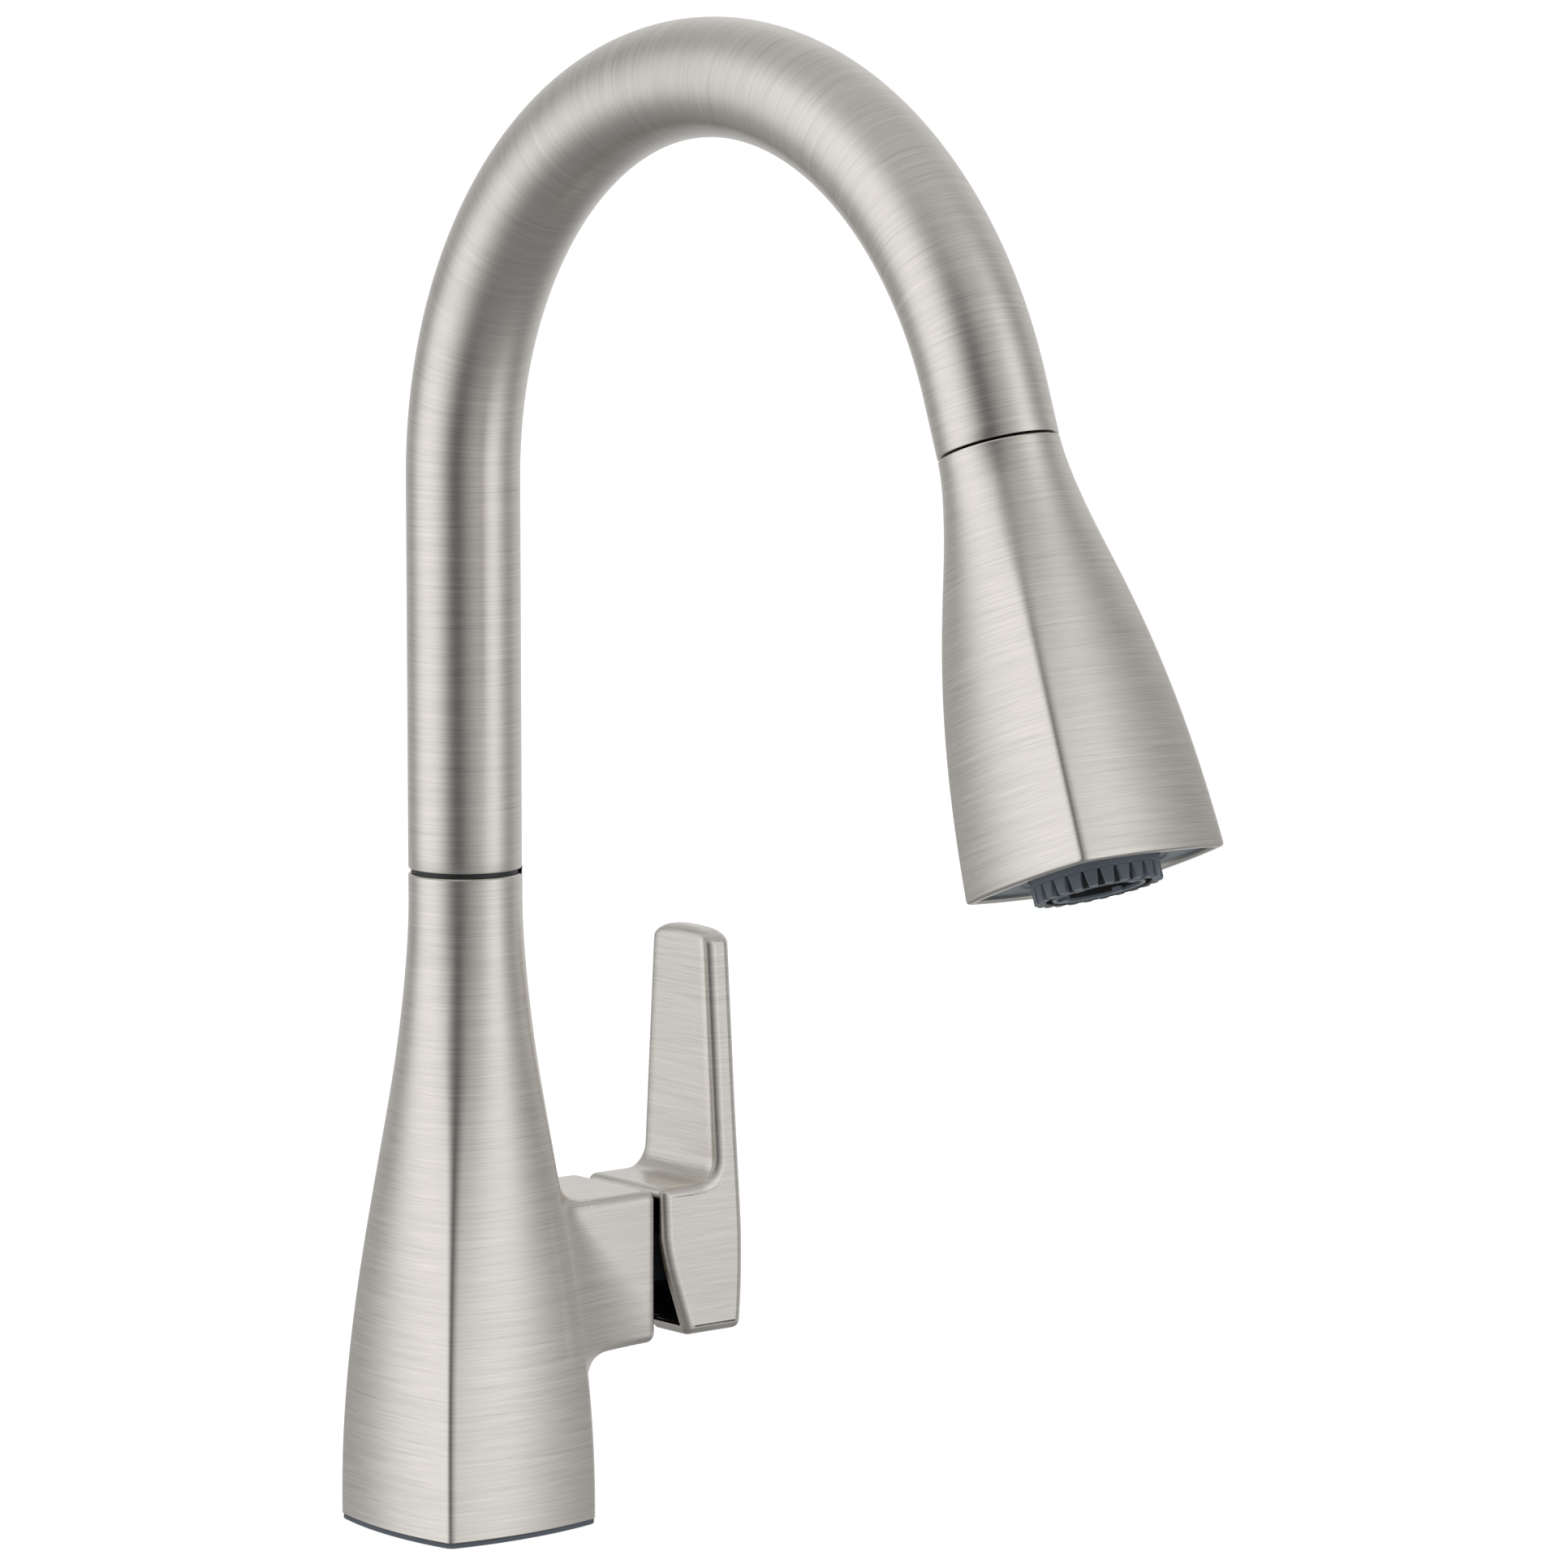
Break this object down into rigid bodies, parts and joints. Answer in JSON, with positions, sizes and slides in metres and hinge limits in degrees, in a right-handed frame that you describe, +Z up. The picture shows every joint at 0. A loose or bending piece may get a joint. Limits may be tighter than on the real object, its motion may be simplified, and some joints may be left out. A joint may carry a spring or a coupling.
{
  "type": "pull-down kitchen faucet",
  "caption": "Single-lever kitchen faucet with a flared square foot, a high swivelling gooseneck and a square-mouthed spray head that pulls down on its hose.",
  "frame": {"origin": "on the axis of the column, in the plane of the worktop under the gasket", "axes": "+Z up along the column, -Y towards the sink where the spout points, +X towards the lever"},
  "size_m": [0.1038, 0.2883, 0.463],
  "materials": {
    "brushed_nickel": "satin brushed nickel plating, fine lines around each piece",
    "brass": "raw machined brass",
    "bright_steel": "plain stainless steel",
    "zinc_nut": "cast brass",
    "black_rubber": "matt rubber",
    "grey_gasket": "matt foam rubber",
    "ceramic": "lapped alumina",
    "valve_plastic": "moulded plastic",
    "dark_plastic": "black moulded plastic",
    "slate_plastic": "slate grey moulded plastic",
    "hose_braid": "grey nylon braid over a rubber hose"
  },
  "bodies": {
    "base": {"deck_gasket": "grey_gasket", "body_shell": "brushed_nickel", "waterway_core": "brass", "mounting_shank": "brass", "deck_rubber_washer": "black_rubber", "deck_steel_washer": "bright_steel", "mounting_nut": "zinc_nut", "nut_clamp_screws": "bright_steel", "cartridge_housing": "valve_plastic", "fixed_ceramic_disc": "ceramic", "cartridge_seals": "black_rubber", "cartridge_retaining_nut": "brass", "swivel_washer": "dark_plastic"},
    "spout": {"spout_tube": "brushed_nickel", "swivel_hub": "brass", "swivel_seals": "black_rubber", "swivel_snap_ring": "bright_steel", "dock_collar": "dark_plastic", "pull_down_hose": "hose_braid", "hose_tail_coupling": "brass"},
    "valve_rotor": {"cartridge_rotor": "valve_plastic", "stem_pivot_pin": "bright_steel"},
    "lever": {"lever_handle": "brushed_nickel", "cartridge_stem": "brass", "lever_set_screw": "bright_steel"},
    "valve_slide": {"moving_ceramic_disc": "ceramic", "disc_carrier": "valve_plastic"},
    "wand": {"wand_shell": "brushed_nickel", "docking_stem": "dark_plastic", "hose_end_ferrule": "brass", "dock_seal": "black_rubber", "inlet_screen": "bright_steel", "wand_duct": "valve_plastic", "check_valve": "valve_plastic", "spray_chamber": "valve_plastic", "nozzle_bezel": "slate_plastic", "spray_face": "dark_plastic", "aerator_insert": "dark_plastic", "aerator_screen": "bright_steel"},
    "selector": {"selector_ring": "slate_plastic"},
    "diverter": {"diverter_plunger": "dark_plastic"}
  },
  "joints": [
    {"name": "spout_swivel", "type": "hinge", "parent": "base", "child": "spout", "pos_m": [0, 0, 0.1666], "axis": [0, 0, 1], "range_deg": [-180, 180]},
    {"name": "lever_turn", "type": "hinge", "parent": "base", "child": "valve_rotor", "pos_m": [0.04, 0, 0.0622], "axis": [1, 0, 0], "range_deg": [-45, 45]},
    {"name": "lever_tilt", "type": "hinge", "parent": "valve_rotor", "child": "lever", "pos_m": [0.04, 0, 0.0622], "axis": [0, 1, 0], "range_deg": [0, 22]},
    {"name": "disc_slide", "type": "slide", "parent": "valve_rotor", "child": "valve_slide", "axis": [0, 0, 1], "range_m": [0, 0.00317]},
    {"name": "wand_pull", "type": "slide", "parent": "spout", "child": "wand", "axis": [0, -0.3381, -0.9411], "range_m": [0, 0.18]},
    {"name": "selector_turn", "type": "hinge", "parent": "wand", "child": "selector", "pos_m": [0, -0.20418, 0.28712], "axis": [0, 0.3381, 0.9411], "range_deg": [0, 90]},
    {"name": "plunger_slide", "type": "slide", "parent": "wand", "child": "diverter", "axis": [0, 0.3381, 0.9411], "range_m": [0, 0.0036]}
  ],
  "couplings": [
    {"joint": "disc_slide", "follows": "lever_tilt", "m_per_rad": 0.008},
    {"joint": "plunger_slide", "follows": "selector_turn", "m_per_rad": 0.002228}
  ]
}
